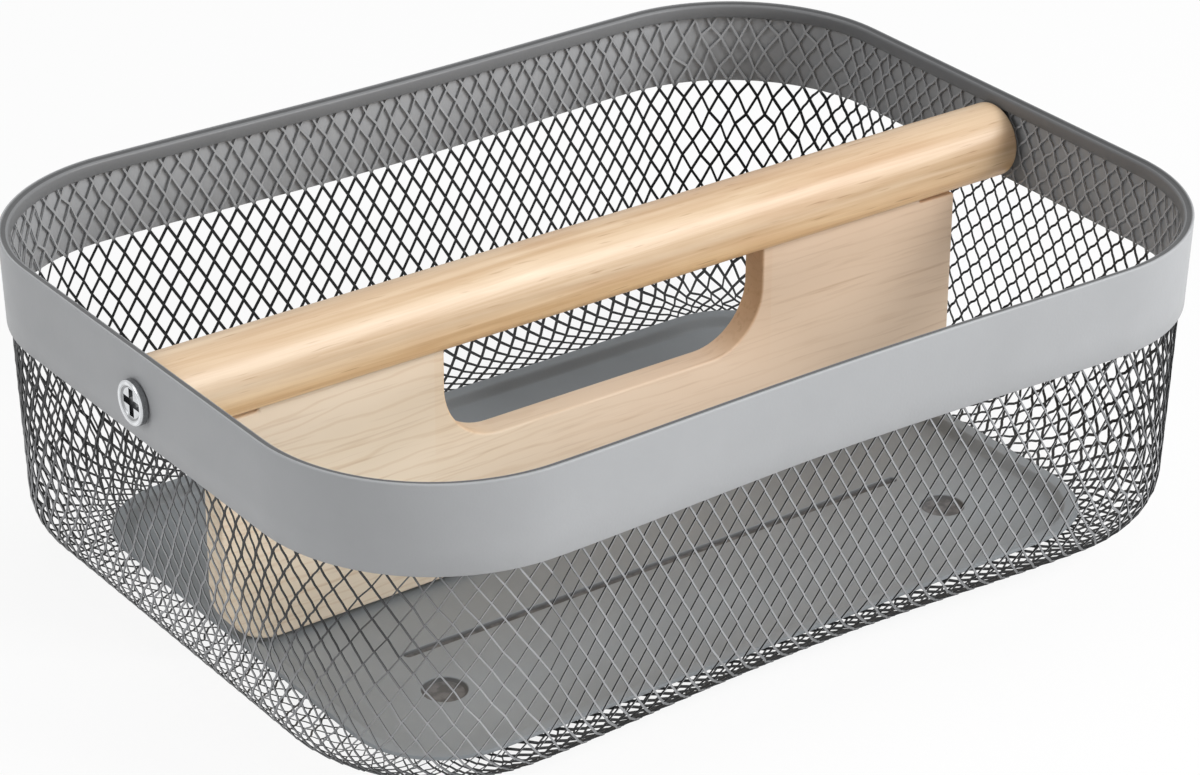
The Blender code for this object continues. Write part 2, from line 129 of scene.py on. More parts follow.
# Steps round curves, and the turn in degrees from which an edge shows as sharp
DOWEL_RINGS = 40
DOWEL_SIDES = 72
SCREW_SIDES = 56
BOARD_STEPS = 16
BEND_STEPS = 80
SHARP_ANGLE = 32
BAND_SHARP_ANGLE = 50
SCREW_SHARP_ANGLE = 30

# The segments round the basket, counter-clockwise from above, and the columns of openings in each
LONG_COLUMNS = 33
COLUMNS = {"right": 21, "corner_back_right": 14, "back": LONG_COLUMNS, "corner_back_left": 14,
           "left": 21, "corner_front_left": 12, "front": LONG_COLUMNS, "corner_front_right": 14}
SEGMENTS = tuple(COLUMNS)

# Steps of the band in each segment
BAND_STEPS = {"right": 4, "corner_back_right": 30, "back": 36, "corner_back_left": 30,
              "left": 4, "corner_front_left": 30, "front": 36, "corner_front_right": 30}

# Rows of the expanded sheet, counted in half openings from its top edge
HALF_ROWS = 28
EVEN_ROWS = 15
BACK_EVEN_ROWS = 17
CLOSING_ROWS = 5
EVEN_PITCH = 0.00574
SHORT_EVEN_ROWS = 17
SHORT_EVEN_PITCH = 0.0049

# Strands of the expanded sheet: metres, or shares of the plain value
STRAND_SHEET = 0.00055
STRAND_WIDTH = 0.00070
BOND_TILT = 0.00038
CORNER_NARROWING = 0.05
CORNER_THINNING = 0.20
CORNER_FLATTENING = 0.45
HIDDEN_WIDENING = 0.05
HIDDEN_FLATTENING = 0.7
HIDDEN_EASE = 0.003
BEND_WIDENING = 0.22
WIDENED_BEND = (0.086, 0.100)
DRAWN_BEND = (0.60, 0.80)
DRAWN_BEND_SHARE = 0.5
CURL = 0.11
BACKWARD_CURL = 0.5
CURL_STEPS = 3
LEAN = 0.25

# A strand's side, and the corners that its two edges join: at its bond and at the bond below
STRAND_ENDS = ((1, "right", "up", "down", "left"), (-1, "down", "right", "left", "up"))

# How far the bonds stray, in half columns and half rows, and how quickly that changes
WANDER_PLAIN = 0.04
WANDER_CORNER = 0.34
WANDER_ON_BEND = 0.42
WANDER_HIDDEN = 0.20
WANDER_DOWN = 0.8
WANDER_BEND = (0.52, 0.82)
WANDER_ROUND = 30.0
WANDER_BY_ROW = 0.7
WANDER_OFFSET = Vector((91.0, 17.0, 5.0))

# How the sheet differs by segment: a segment that a table leaves out has the plain value.
# The values of the segments at these steps from a place, in half columns, are averaged.
BLEND_STEPS = (-5, -3, -1, 1, 3, 5)
CORNER_SHARES = {"right": 0.30, "left": 0.75, "back": 0.0, "front": 0.0, "corner_front_left": 0.35}
SHEET_SHARES = {"right": 0.70, "left": 0.55, "corner_front_left": 0.55}
WIDTH_SHARES = {"back": 1.55, "corner_back_left": 1.35, "corner_back_right": 1.45, "right": 1.35,
                "left": 0.90, "corner_front_left": 0.60, "corner_front_right": 1.30}
TILT_SHARES = {"right": -0.75, "left": 0.6, "corner_front_right": 0.3, "corner_back_right": 0.2}
WANDER_SHARES = {"back": 0.20, "front": 0.85}
# Where the strands' outward faces take painted shade, and where they take painted light low down
SHADED_SHARES = {"front": 0.0, "back": 0.0}
LIT_SHARES = {"left": 1.0, "corner_front_left": 0.35}

# Painted light and shade on the strands' outward faces; depths are distances down the sheet, in metres
PLAIN_SHADE = 0.71
HIGH_DARKENING = 0.82
LOW_DARKENING = 0.17
BEND_DARKENING = 0.6
SHADED_BEND = (0.088, 0.102)
LIT_DEPTH = 0.052
LIT_EASE = 0.020
LEFT_LIT_LIFT = 0.024
LEFT_LIT_START = (0.34, 0.62)
LEFT_LIT_END = (0.78, 0.86)
NEAR_CORNER_FADE = (0.45, 0.80)

# Painted shade and highlight: tones that darken or lighten a face of the band or of a screw
EDGE_SHADE = 0.9
CREST_HIGHLIGHT = 1.08
GROOVE_RIM_SHADE = 0.45
GROOVE_SHADE = 0.22
FOLD_SHADE = 0.55
LIP_SHADE = 0.4
UNDER_LIP_LIGHT = 1.15
RIGHT_INNER_SHADE = 0.74
HEAD_UNDER_SHADE = 0.5
HEAD_SIDE_SHADE = 0.35
HEAD_EDGE_SHADE = 0.8
DISH_SIDE_SHADE = 0.42
DISH_SHADE = 0.9
CROSS_SHADE = 0.25

# Paints and metals
WHITE = (1.0, 1.0, 1.0)
BAND_PAINT = (0.345, 0.352, 0.362)
# The base's paint is darker than the band's: painted shade for the inside of the basket
SHADED_BASE_PAINT = (0.272, 0.293, 0.310)
# Strand colours: outer faces at full painted light, inner faces and cut edges with painted shade, and faces
# behind the band
STRAND_OUTER_LIT = (0.417, 0.424, 0.438)
STRAND_INNER_SHADE = (0.016, 0.017, 0.018)
STRAND_INNER_SHADE_ON_BEND = (0.055, 0.057, 0.059)
STRAND_UNDER_BAND = (0.37, 0.377, 0.387)
ZINC = (0.84, 0.86, 0.88)
BRASS = (0.72, 0.55, 0.24)

# Camera, in metres, degrees and millimetres
CAMERA_PLACE = (-0.6819, -0.9323, 0.6512)
CAMERA_AZIMUTH = -36.204
CAMERA_ELEVATION = 27.373
CAMERA_ROLL = 0.382
CAMERA_LENS = 116.63

# Lamps: name, place, height of the point they aim at, size and power
LAMPS = (
    ("key", (1.05, -1.45, 1.30), 0.07, (0.9, 0.8), 31.0),
    ("front_fill", (0.65, -1.6, 0.42), 0.05, (0.8, 0.4), 6.5),
    ("side", (-1.6, 0.3, 1.0), 0.07, (0.8, 0.8), 8.5),
    ("overhead", (0.1, 0.1, 1.7), 0.05, (1.1, 1.1), 4.0),
)
WORLD_FILL = 0.39
FLOOR_REACH = 6.0
FLOOR_LEVEL = -0.0002
FLOOR_COLOUR = (0.9, 0.9, 0.9)
FLOOR_SHADOW = 0.12


def link(obj):
    bpy.context.scene.collection.objects.link(obj)
    return obj


# Camera, lights and floor

def make_camera():
    azimuth = radians(CAMERA_AZIMUTH)
    elevation = radians(CAMERA_ELEVATION)
    roll = radians(CAMERA_ROLL)
    back = Vector((sin(azimuth) * cos(elevation),
                   -cos(azimuth) * cos(elevation), sin(elevation)))
    right = Vector((cos(azimuth), sin(azimuth), 0.0))
    up = back.cross(right)
    across = right * cos(roll) + up * sin(roll)
    upward = up * cos(roll) - right * sin(roll)
    data = bpy.data.cameras.new("camera")
    data.lens = CAMERA_LENS
    data.sensor_fit = "HORIZONTAL"
    data.clip_start = 0.05
    data.clip_end = 50.0
    camera = link(bpy.data.objects.new("camera", data))
    matrix = Matrix((across, upward, back)).transposed().to_4x4()
    matrix.translation = Vector(CAMERA_PLACE)
    camera.matrix_world = matrix
    bpy.context.scene.camera = camera


def area_light(name, place, aim_height, size, power):
    data = bpy.data.lights.new(name, "AREA")
    data.shape = "RECTANGLE"
    data.size, data.size_y = size
    data.energy = power
    lamp = link(bpy.data.objects.new(name, data))
    lamp.location = place
    aim = Vector((0.0, 0.0, aim_height)) - Vector(place)
    lamp.rotation_euler = aim.to_track_quat("-Z", "Y").to_euler()


def set_inputs(owner, node, inputs):
    """Sets a node's inputs to values, or links them to other nodes' outputs."""
    for name, value in inputs.items():
        socket = node.inputs[name]
        if isinstance(value, bpy.types.NodeSocket):
            owner.node_tree.links.new(value, socket)
        else:
            socket.default_value = (*value, 1.0) if socket.type == "RGBA" else value


def new_node(owner, kind, inputs=None):
    node = owner.node_tree.nodes.new(kind)
    set_inputs(owner, node, inputs or {})
    return node


def combined(owner, operation, first, second=0.0):
    """The result of a maths node."""
    node = new_node(owner, "ShaderNodeMath", {0: first, 1: second})
    node.operation = operation
    return node.outputs[0]


def seen_directly(owner):
    """1 for camera, glossy and transmission rays, and 0 for the light that lands on things."""
    path = new_node(owner, "ShaderNodeLightPath").outputs
    seen = combined(owner, "MAXIMUM", path["Is Camera Ray"], path["Is Glossy Ray"])
    return combined(owner, "MAXIMUM", seen, path["Is Transmission Ray"])


def glow(owner, kind, strength):
    """A white background or emission."""
    return new_node(owner, kind, {"Color": WHITE, "Strength": strength}).outputs[0]


def show_mix(owner, share, first, second, output):
    """Mixes two shaders by a share and sends the mix to an output node."""
    mix = new_node(owner, "ShaderNodeMixShader", {0: share, 1: first, 2: second})
    new_node(owner, output, {"Surface": mix.outputs[0]})


def make_world():
    """A world that lights the object plainly and shows as white."""
    world = bpy.data.worlds.new("studio")
    bpy.context.scene.world = world
    world.use_nodes = True
    world.node_tree.nodes.clear()
    lit = glow(world, "ShaderNodeBackground", WORLD_FILL)
    shown = glow(world, "ShaderNodeBackground", 1.0)
    show_mix(world, seen_directly(world), lit, shown, "ShaderNodeOutputWorld")


def make_floor():
    """A pale floor that shows as white and keeps a soft part of the object's shadow."""
    mesh = bpy.data.meshes.new("floor")
    signs = ((-1, -1), (1, -1), (1, 1), (-1, 1))
    corners = [(x * FLOOR_REACH, y * FLOOR_REACH, FLOOR_LEVEL) for x, y in signs]
    mesh.from_pydata(corners, [], [(0, 1, 2, 3)])
    ground = link(bpy.data.objects.new("floor", mesh))
    material = bpy.data.materials.new("floor_white")
    material.use_nodes = True
    material.node_tree.nodes.clear()
    plain = new_node(material, "ShaderNodeBsdfDiffuse", {"Color": FLOOR_COLOUR})
    white = glow(material, "ShaderNodeEmission", 1.0)
    share = combined(material, "MULTIPLY", seen_directly(material), 1.0 - FLOOR_SHADOW)
    show_mix(material, share, plain.outputs[0], white, "ShaderNodeOutputMaterial")
    mesh.materials.append(material)


def make_stage():
    make_camera()
    make_world()
    make_floor()
    for lamp in LAMPS:
        area_light(*lamp)
    bpy.context.scene.view_settings.view_transform = "Standard"


# Materials

def new_material(name, roughness, specular=0.5, metallic=0.0):
    material = bpy.data.materials.new(name)
    material.use_nodes = True
    settings = {"Roughness": roughness, "Specular IOR Level": specular, "Metallic": metallic}
    set_inputs(material, material.node_tree.nodes["Principled BSDF"], settings)
    return material


def object_place(material, scale=(1.0, 1.0, 1.0)):
    """The object's own coordinates, stretched by scale."""
    place = new_node(material, "ShaderNodeTexCoord").outputs["Object"]
    return new_node(material, "ShaderNodeMapping", {"Vector": place, "Scale": scale}).outputs["Vector"]


def parts_of(material, vector):
    """The X, Y and Z parts of a vector."""
    return new_node(material, "ShaderNodeSeparateXYZ", {"Vector": vector}).outputs


def object_normal(material):
    """The parts of the face's direction in the object's own axes."""
    return parts_of(material, new_node(material, "ShaderNodeTexCoord").outputs["Normal"])


def noise_texture(material, vector, scale, detail=3.0, rough=0.5, distortion=0.0):
    settings = {"Scale": scale, "Detail": detail, "Roughness": rough, "Distortion": distortion}
    return new_node(material, "ShaderNodeTexNoise", {"Vector": vector, **settings}).outputs["Fac"]


def stretched_noise(material, stretch, **settings):
    """Noise over the object's own coordinates, stretched differently along each axis."""
    return noise_texture(material, object_place(material, stretch), 1.0, **settings)


def ramp(material, factor, *stops):
    """A colour ramp through (position, colour) stops."""
    node = new_node(material, "ShaderNodeValToRGB", {"Fac": factor})
    elements = node.color_ramp.elements
    while len(elements) < len(stops):
        elements.new(0.5)
    for element, (position, colour) in zip(elements, stops):
        element.position = position
        element.color = (*colour, 1.0)
    return node.outputs["Color"]


def blend_colours(material, factor, first, second, mode="MIX"):
    node = new_node(material, "ShaderNodeMix")
    node.data_type = "RGBA"
    node.blend_type = mode
    set_inputs(material, node, {"Factor": factor, 6: first, 7: second})
    return node.outputs[2]


def tinted(material, colour, tint, strength=1.0):
    """A colour multiplied by a tint, as far as a strength says."""
    return blend_colours(material, strength, colour, tint, "MULTIPLY")


def spread(material, factor, low, high):
    """Maps a 0 to 1 factor to low to high."""
    ends = {"To Min": low, "To Max": high}
    return new_node(material, "ShaderNodeMapRange", {"Value": factor, **ends}).outputs["Result"]


def graded(material, value, start, end, change="LINEAR"):
    """0 where a value is at start, 1 where it is at end, and even or eased between them."""
    node = new_node(material, "ShaderNodeMapRange", {"Value": value, "From Min": start, "From Max": end})
    node.interpolation_type = change
    return node.outputs["Result"]


def surface(material, colour, roughness, relief, strength, distance):
    """Links a material's shader to its colour, its uneven roughness and a fine relief."""
    settings = {"Height": relief, "Strength": strength, "Distance": distance}
    bump = new_node(material, "ShaderNodeBump", settings).outputs["Normal"]
    inputs = {"Base Color": colour, "Roughness": roughness, "Normal": bump}
    set_inputs(material, material.node_tree.nodes["Principled BSDF"], inputs)
    return material


def piece_attribute(material, name):
    node = new_node(material, "ShaderNodeAttribute")
    node.attribute_name = name
    return node.outputs


def painted_face_shading(material, colour):
    """The colour, darkened or lightened by the piece's own tone for each face: painted shade and highlight.
    """
    return tinted(material, colour, piece_attribute(material, "tone")["Color"])


def plain_tone(material, colour):
    return colour


def painted_sunk_shade(material, colour, level):
    """The colour, with painted shade on faces that look up from below a level: pressed grooves keep the light
    out.
    """
    slope_shade = (0.080, 0.080, 0.081)
    dark_floor_shade = (0.085, 0.085, 0.087)
    light_floor_shade = (0.15, 0.148, 0.15)
    height = parts_of(material, object_place(material))["Z"]
    upward = object_normal(material)["Z"]
    depth = graded(material, height, level - 0.00003, level - 0.0004)
    facing = graded(material, upward, 0.1, 0.5)
    sunk_shade = combined(material, "MULTIPLY", depth, facing)
    # Painted shade on the hollows' floors, mottled darker and lighter
    patches = noise_texture(material, object_place(material), 300.0, detail=2.0)
    floor_shade = ramp(material, patches, (0.40, dark_floor_shade), (0.60, light_floor_shade))
    level_share = graded(material, upward, 0.90, 0.99)
    groove_shade = blend_colours(material, level_share, slope_shade, floor_shade)
    return blend_colours(material, sunk_shade, colour, groove_shade)


def powder_coat(name, colour, variation, roughness, treat):
    """Satin powder-coated steel: fine orange peel, faint mottling and uneven gloss."""
    material = new_material(name, roughness, specular=0.35)
    place = object_place(material)
    darker = tuple(c * (1.0 - variation) for c in colour)
    lighter = tuple(min(1.0, c * (1.0 + variation)) for c in colour)
    mottle = noise_texture(material, place, 28.0, detail=4.0, rough=0.6)
    mottled = ramp(material, mottle, (0.3, darker), (0.7, lighter))
    gloss = noise_texture(material, place, 140.0, detail=2.0)
    peel = noise_texture(material, place, 1100.0, detail=2.0)
    uneven = spread(material, gloss, roughness - 0.06, roughness + 0.06)
    return surface(material, treat(material, mottled), uneven, peel, 0.12, 0.0003)


def mesh_coat(name, roughness):
    """Satin coat on the strands with painted shade: dark on inner faces and cut edges, paler behind the band;
    outer faces take the piece's painted light and shade.
    """
    material = new_material(name, roughness, specular=0.15)
    place = object_place(material)
    height = parts_of(material, place)["Z"]
    on_bend = graded(material, height, 0.021, 0.010)
    under_band = graded(material, height, BAND_BOTTOM - 0.0005, BAND_BOTTOM + 0.0015)
    # Painted shade: inner faces and cut edges are darkened, less so on the bend
    inner = blend_colours(material, on_bend, STRAND_INNER_SHADE, STRAND_INNER_SHADE_ON_BEND)
    hidden = blend_colours(material, under_band, inner, STRAND_UNDER_BAND)
    painted_strand_shade = piece_attribute(material, "painted_strand_shade")["Fac"]
    coat = blend_colours(material, painted_strand_shade, hidden, STRAND_OUTER_LIT)
    mottle = noise_texture(material, place, 60.0, detail=4.0, rough=0.6)
    mottled = tinted(material, coat, ramp(material, mottle, (0.3, (0.82, 0.82, 0.82)), (0.7, WHITE)))
    gloss = noise_texture(material, place, 240.0, detail=2.0)
    peel = noise_texture(material, place, 1600.0, detail=2.0)
    uneven = spread(material, gloss, roughness - 0.06, roughness + 0.08)
    return surface(material, mottled, uneven, peel, 0.10, 0.0002)


def dowel_wood():
    """A pale turned bar: soft cloudy figure, long fibres and short dark flecks along its length, with painted
    bounce light below.
    """
    deep, middle, pale = (0.60, 0.405, 0.248), (0.672, 0.50, 0.33), (0.735, 0.575, 0.405)
    fibre_colour, fibre_gap = (0.80, 0.70, 0.58), (1.03, 1.03, 1.03)
    fleck_colour = (0.50, 0.34, 0.20)
    painted_bounce_tint = (1.42, 1.28, 1.02)
    material = new_material("pale_turned_wood", 0.42, specular=0.66)
    clouds = stretched_noise(material, (7.0, 42.0, 42.0), detail=4.0, rough=0.55, distortion=0.6)
    base = ramp(material, clouds, (0.30, deep), (0.5, middle), (0.70, pale))
    fibres = stretched_noise(material, (9.0, 300.0, 300.0), detail=4.0, rough=0.62, distortion=0.4)
    fibre_tone = ramp(material, fibres, (0.34, fibre_colour), (0.60, fibre_gap))
    flecks = stretched_noise(material, (70.0, 900.0, 900.0), detail=1.0)
    fleck_tone = ramp(material, flecks, (0.20, fleck_colour), (0.33, WHITE))
    fibrous = tinted(material, base, fibre_tone, 0.80)
    flecked = tinted(material, fibrous, fleck_tone, 0.55)
    # Painted bounce light: faces that look down are lighter and warmer
    below = graded(material, object_normal(material)["Z"], 0.1, -0.6)
    colour = blend_colours(material, below, flecked, tinted(material, flecked, painted_bounce_tint))
    return surface(material, colour, spread(material, fibres, 0.34, 0.47), fibres, 0.10, 0.0003)


def board_edges(material, place, colour):
    """The board's colour: deeper on the ends of its hand slot, and lighter low down with painted light."""
    cut_tint = (0.90, 0.74, 0.56)
    painted_light_tint = (1.08, 1.11, 1.14)
    sideways = combined(material, "ABSOLUTE", object_normal(material)["X"])
    distance = combined(material, "ABSOLUTE", place["X"])
    by_slot = combined(material, "LESS_THAN", distance, SLOT_LENGTH / 2 + 0.004)
    cut_share = combined(material, "MULTIPLY", sideways, by_slot)
    toned = blend_colours(material, cut_share, colour, tinted(material, colour, cut_tint))
    # Painted light: the board is lighter low down
    low = graded(material, place["Z"], 0.075, 0.035)
    return blend_colours(material, low, toned, tinted(material, toned, painted_light_tint))


def wavy_bands(material, stretch):
    """Wavering level bands over the object's own coordinates."""
    settings = {"Scale": 42.0, "Distortion": 9.0, "Detail": 3.0, "Detail Scale": 0.9}
    place = object_place(material, stretch)
    wave = new_node(material, "ShaderNodeTexWave", {"Vector": place, **settings})
    wave.wave_type = "BANDS"
    wave.bands_direction = "Z"
    return wave.outputs["Fac"]


def board_wood():
    """A pale board: long wavering figure lines and fine pores, rosier towards its right end."""
    pale = ((0.78, 0.64, 0.475), (0.84, 0.70, 0.54), (0.87, 0.75, 0.60))
    rosy = ((0.69, 0.51, 0.360), (0.75, 0.565, 0.41), (0.80, 0.62, 0.46))
    figure_colour, pore_colour = (0.80, 0.70, 0.60), (0.66, 0.53, 0.42)
    material = new_material("pale_board_wood_grain", 0.52, specular=0.4)
    place = parts_of(material, object_place(material))
    clouds = stretched_noise(material, (5.0, 30.0, 16.0), detail=3.0, distortion=0.8)
    pale_wood, rosy_wood = (ramp(material, clouds, *zip((0.28, 0.55, 0.8), tones)) for tones in (pale, rosy))
    along = graded(material, place["X"], -0.11, 0.06, "SMOOTHSTEP")
    base = blend_colours(material, along, pale_wood, rosy_wood)
    figure = ramp(material, wavy_bands(material, (0.40, 2.0, 1.6)), (0.0, figure_colour), (0.16, WHITE))
    figured = tinted(material, base, figure, spread(material, along, 0.38, 0.17))
    pores = stretched_noise(material, (26.0, 600.0, 600.0), detail=2.0, rough=0.55, distortion=0.1)
    grained = tinted(material, figured, ramp(material, pores, (0.24, pore_colour), (0.45, WHITE)), 0.4)
    colour = board_edges(material, place, grained)
    return surface(material, colour, spread(material, pores, 0.46, 0.60), pores, 0.08, 0.0003)


def plated(name, colour, roughness, treat):
    """Bright plated metal with fine turning marks and small scuffs."""
    material = new_material(name, roughness, metallic=1.0)
    tone = noise_texture(material, object_place(material), 260.0)
    darker = tuple(c * 0.82 for c in colour)
    mottled = ramp(material, tone, (0.35, darker), (0.6, colour))
    scuffs = noise_texture(material, object_place(material, (400.0, 90.0, 90.0)), 3.0)
    uneven = spread(material, scuffs, roughness - 0.08, roughness + 0.14)
    return surface(material, treat(material, mottled), uneven, scuffs, 0.08, 0.0002)


# Shapes

def smoothed(mesh, sharp_angle):
    """Shades a mesh smooth, except over edges that turn by more than an angle in degrees."""
    mesh.shade_smooth()
    mesh.set_sharp_from_angle(angle=radians(sharp_angle))


def finished(name, vertices, faces, material, body=None, sharp_angle=None):
    """Makes a closed mesh with its faces turned outwards, which rides on a body unless it is a tool."""
    mesh = bpy.data.meshes.new(name)
    mesh.from_pydata(vertices, [], faces)
    work = bmesh.new()
    work.from_mesh(mesh)
    bmesh.ops.recalc_face_normals(work, faces=work.faces)
    work.to_mesh(mesh)
    work.free()
    if sharp_angle:
        smoothed(mesh, sharp_angle)
    mesh.materials.append(material)
    piece = link(bpy.data.objects.new(name, mesh))
    if body:
        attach(piece, body)
    return piece


def apply_modifiers(piece):
    bpy.context.view_layer.update()
    graph = bpy.context.evaluated_depsgraph_get()
    evaluated = piece.evaluated_get(graph)
    made = bpy.data.meshes.new_from_object(evaluated, preserve_all_data_layers=True, depsgraph=graph)
    piece.modifiers.clear()
    piece.data = made


def carve(piece, tools, operation="DIFFERENCE"):
    """Applies closed tool meshes to a piece and removes them."""
    for tool in tools:
        step = piece.modifiers.new(tool.name, "BOOLEAN")
        step.object = tool
        step.operation = operation
        step.solver = "EXACT"
    apply_modifiers(piece)
    for tool in tools:
        bpy.data.objects.remove(tool, do_unlink=True)


def set_painted_shading(piece, tones):
    """Gives each face its own tone of painted shade or highlight, repeating the list over the faces."""
    tone = piece.data.attributes.new("tone", "FLOAT_COLOR", "FACE")
    for number in range(len(piece.data.polygons)):
        value = tones[number % len(tones)]
        tone.data[number].color = (value, value, value, 1.0)


def rise(value, start, end):
    """0 up to a start value, 1 from an end value on, and even between them."""
    return min(max((value - start) / (end - start), 0.0), 1.0)


def eased(share):
    """A share from 0 to 1 with a soft start and end."""
    return (3 - 2 * share) * share * share


def arc(centre, radius, start, end, steps):
    turns = [radians(start + (end - start) * i / steps) for i in range(steps + 1)]
    return [(centre[0] + radius * cos(t), centre[1] + radius * sin(t)) for t in turns]


def ring_faces(rings, size, closed):
    """Quads between successive rings of points."""
    faces = []
    for k in range(rings if closed else rings - 1):
        here, there = k * size, (k + 1) % rings * size
        for i in range(size):
            after = (i + 1) % size
            faces.append((here + i, here + after, there + after, there + i))
    return faces


def capped_faces(rings, size):
    """Quads between successive rings of points, and a face over the first and the last ring."""
    last = (rings - 1) * size
    caps = [list(range(size)), [last + i for i in reversed(range(size))]]
    return ring_faces(rings, size, False) + caps


def turned(name, profile, sides, material, side=1, sharp_angle=35):
    """A closed solid on the handle, of (distance along X, radius) points turned about its axis."""
    vertices, rings, faces = [], [], []
    for distance, radius in profile:
        count = sides if radius > 0 else 1
        rings.append([len(vertices) + i for i in range(count)])
        for i in range(count):
            turn = 2 * pi * i / sides
            vertices.append((side * distance, radius * cos(turn), AXIS_HEIGHT + radius * sin(turn)))
    for first, second in zip(rings, rings[1:]):
        for i in range(sides):
            after = (i + 1) % sides
            face = [first[i % len(first)], first[after % len(first)],
                    second[after % len(second)], second[i % len(second)]]
            faces.append(list(dict.fromkeys(face)))
    return finished(name, vertices, faces, material, "handle", sharp_angle)


def prism(name, outline, low, high, axis, material, body=None):
    """A closed prism of an outline, from low to high along X, Y or Z."""
    def place(first, second, third):
        return {"X": (third, first, second), "Y": (first, third, second), "Z": (first, second, third)}[axis]

    size = len(outline)
    vertices = [place(a, b, level) for level in (low, high) for a, b in outline]
    faces = [list(range(size)), [size + i for i in reversed(range(size))]]
    faces += [(i, size + i, size + (i + 1) % size, (i + 1) % size) for i in range(size)]
    return finished(name, vertices, faces, material, body)


# The basket's outline from above

def drop_share(height):
    """0 at the rim, growing to 1 where the mesh begins to bend inwards."""
    return (HEIGHT - height) / (HEIGHT - MESH_FOOT)


def side_bow(height):
    """How far the middle of a long side is drawn in, at a height."""
    return RIM_BOW + (FOOT_BOW - RIM_BOW) * drop_share(height)


def wall_inset(height):
    """How far the wall has leaned in all round, at a height."""
    return WALL_LEAN * drop_share(height)


def plan_point(segment, share, inset, bow):
    """A point of the basket's outline, moved inwards by inset, at a share of one of its segments."""
    along = LENGTH / 2 - CORNER_RADIUS
    across = WIDTH / 2 - CORNER_RADIUS
    radius = CORNER_RADIUS - inset
    quarter = SEGMENTS.index(segment) // 2
    if segment.startswith("corner"):
        x, y = ((along, across), (-along, across), (-along, -across), (along, -across))[quarter]
        turn = radians(90 * (quarter + share))
        return x + radius * cos(turn), y + radius * sin(turn)
    run = 2 * share - 1
    if segment in ("back", "front"):
        side = 1 if segment == "back" else -1
        drawn_in = bow * (1 - run * run) ** 2
        return -side * along * run, side * (across + radius - drawn_in)
    side = 1 if segment == "right" else -1
    return side * (along + radius), side * across * run


def places_round(steps):
    """(segment, share) of points round the basket, with so many steps in each segment."""
    return [(segment, i / count) for segment, count in steps.items() for i in range(count)]


# The rim band

def band_section():
    """(inset, height, tone) round the band: outer wall, crest, folded top edge, inner lip and inner wall; the
    tone is painted shade or highlight.
    """
    eased_edge = BAND_SHEET / 4
    lip = 2 * HEM_ROLL
    lip_bottom = HEIGHT - HEM_LIP
    lip_inside = lip - BAND_SHEET
    valley = HEIGHT - HEM_VALLEY
    valley_under = valley - BAND_SHEET
    crest = arc((HEM_CREST, HEIGHT - HEM_CREST), HEM_CREST, 180, 90, 5)
    fold = arc((lip - HEM_FOLD, valley - HEM_FOLD), HEM_FOLD, 90, 0, 6)
    return [
        (eased_edge, BAND_BOTTOM, EDGE_SHADE),
        (0.0, BAND_BOTTOM + eased_edge, 1.0),
        (0.0, BAND_BOTTOM + BAND_LOW_LINE, 1.0),
        (0.0, HEIGHT - BAND_HIGH_LINE, 1.0),
        *[(*point, CREST_HIGHLIGHT) for point in crest],
        (HEM_CREST + GROOVE_EASE, HEIGHT, GROOVE_RIM_SHADE),
        (HEM_CREST + 2 * GROOVE_EASE, HEIGHT - GROOVE_EASE, GROOVE_SHADE),
        (GROOVE_FOOT, valley, GROOVE_SHADE),
        *[(*point, FOLD_SHADE) for point in fold],
        (lip, lip_bottom + eased_edge, FOLD_SHADE),
        (lip - eased_edge, lip_bottom, LIP_SHADE),
        (lip_inside, lip_bottom, LIP_SHADE),
        (lip_inside, valley_under - HEM_FOLD, LIP_SHADE),
        (lip_inside - HEM_FOLD, valley_under, LIP_SHADE),
        (BAND_SHEET, valley_under, UNDER_LIP_LIGHT),
        (BAND_SHEET, BAND_BOTTOM + eased_edge, 1.0),
        (BAND_SHEET - eased_edge, BAND_BOTTOM, EDGE_SHADE),
    ]


def right_share(segment, share):
    """1 on the right wall, falling to 0 through the corners beside it."""
    return {"right": 1.0, "corner_back_right": 1.0 - share, "corner_front_right": share}.get(segment, 0.0)


def rim_band(material):
    """The band with its folded top edge and its inner lip."""
    section = band_section()
    places = places_round(BAND_STEPS)
    vertices, tones = [], []
    for segment, share in places:
        # Painted shade on the band's inner faces along the right wall, fading through the corners beside it
        inner = 1.0 - (1.0 - RIGHT_INNER_SHADE) * right_share(segment, share)
        for inset, height, tone in section:
            x, y = plan_point(segment, share, inset + wall_inset(height), side_bow(height))
            vertices.append((x, y, height))
            tones.append(tone * inner if inset >= BAND_SHEET / 2 else tone)
    faces = ring_faces(len(places), len(section), True)
    band = finished("rim_band_folded", vertices, faces, material, "basket", BAND_SHARP_ANGLE)
    set_painted_shading(band, tones)
    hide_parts("rim_band")


# The line of the expanded sheet down the wall, round the bend and under the base

def foot_bend(turn):
    """Inset, height and bow of the mesh at a turn of its bend."""
    inset = MESH_INSET + WALL_LEAN + FOOT_RUN * (1 - cos(turn))
    return inset, MESH_FOOT - FOOT_RISE * sin(turn), FOOT_BOW * cos(turn)


def bend_lengths():
    """Distances along the bend at even steps of its turn."""
    lengths = [0.0]
    for i in range(BEND_STEPS):
        first = foot_bend(pi / 2 * i / BEND_STEPS)
        second = foot_bend(pi / 2 * (i + 1) / BEND_STEPS)
        lengths.append(lengths[-1] + dist(first[:2], second[:2]))
    return lengths


BEND_LENGTHS = bend_lengths()
WALL_LENGTH = MESH_TOP - MESH_FOOT
MARGIN_LENGTH = MARGIN_END - MESH_INSET - WALL_LEAN - FOOT_RUN
MESH_LENGTH = WALL_LENGTH + BEND_LENGTHS[-1] + MARGIN_LENGTH


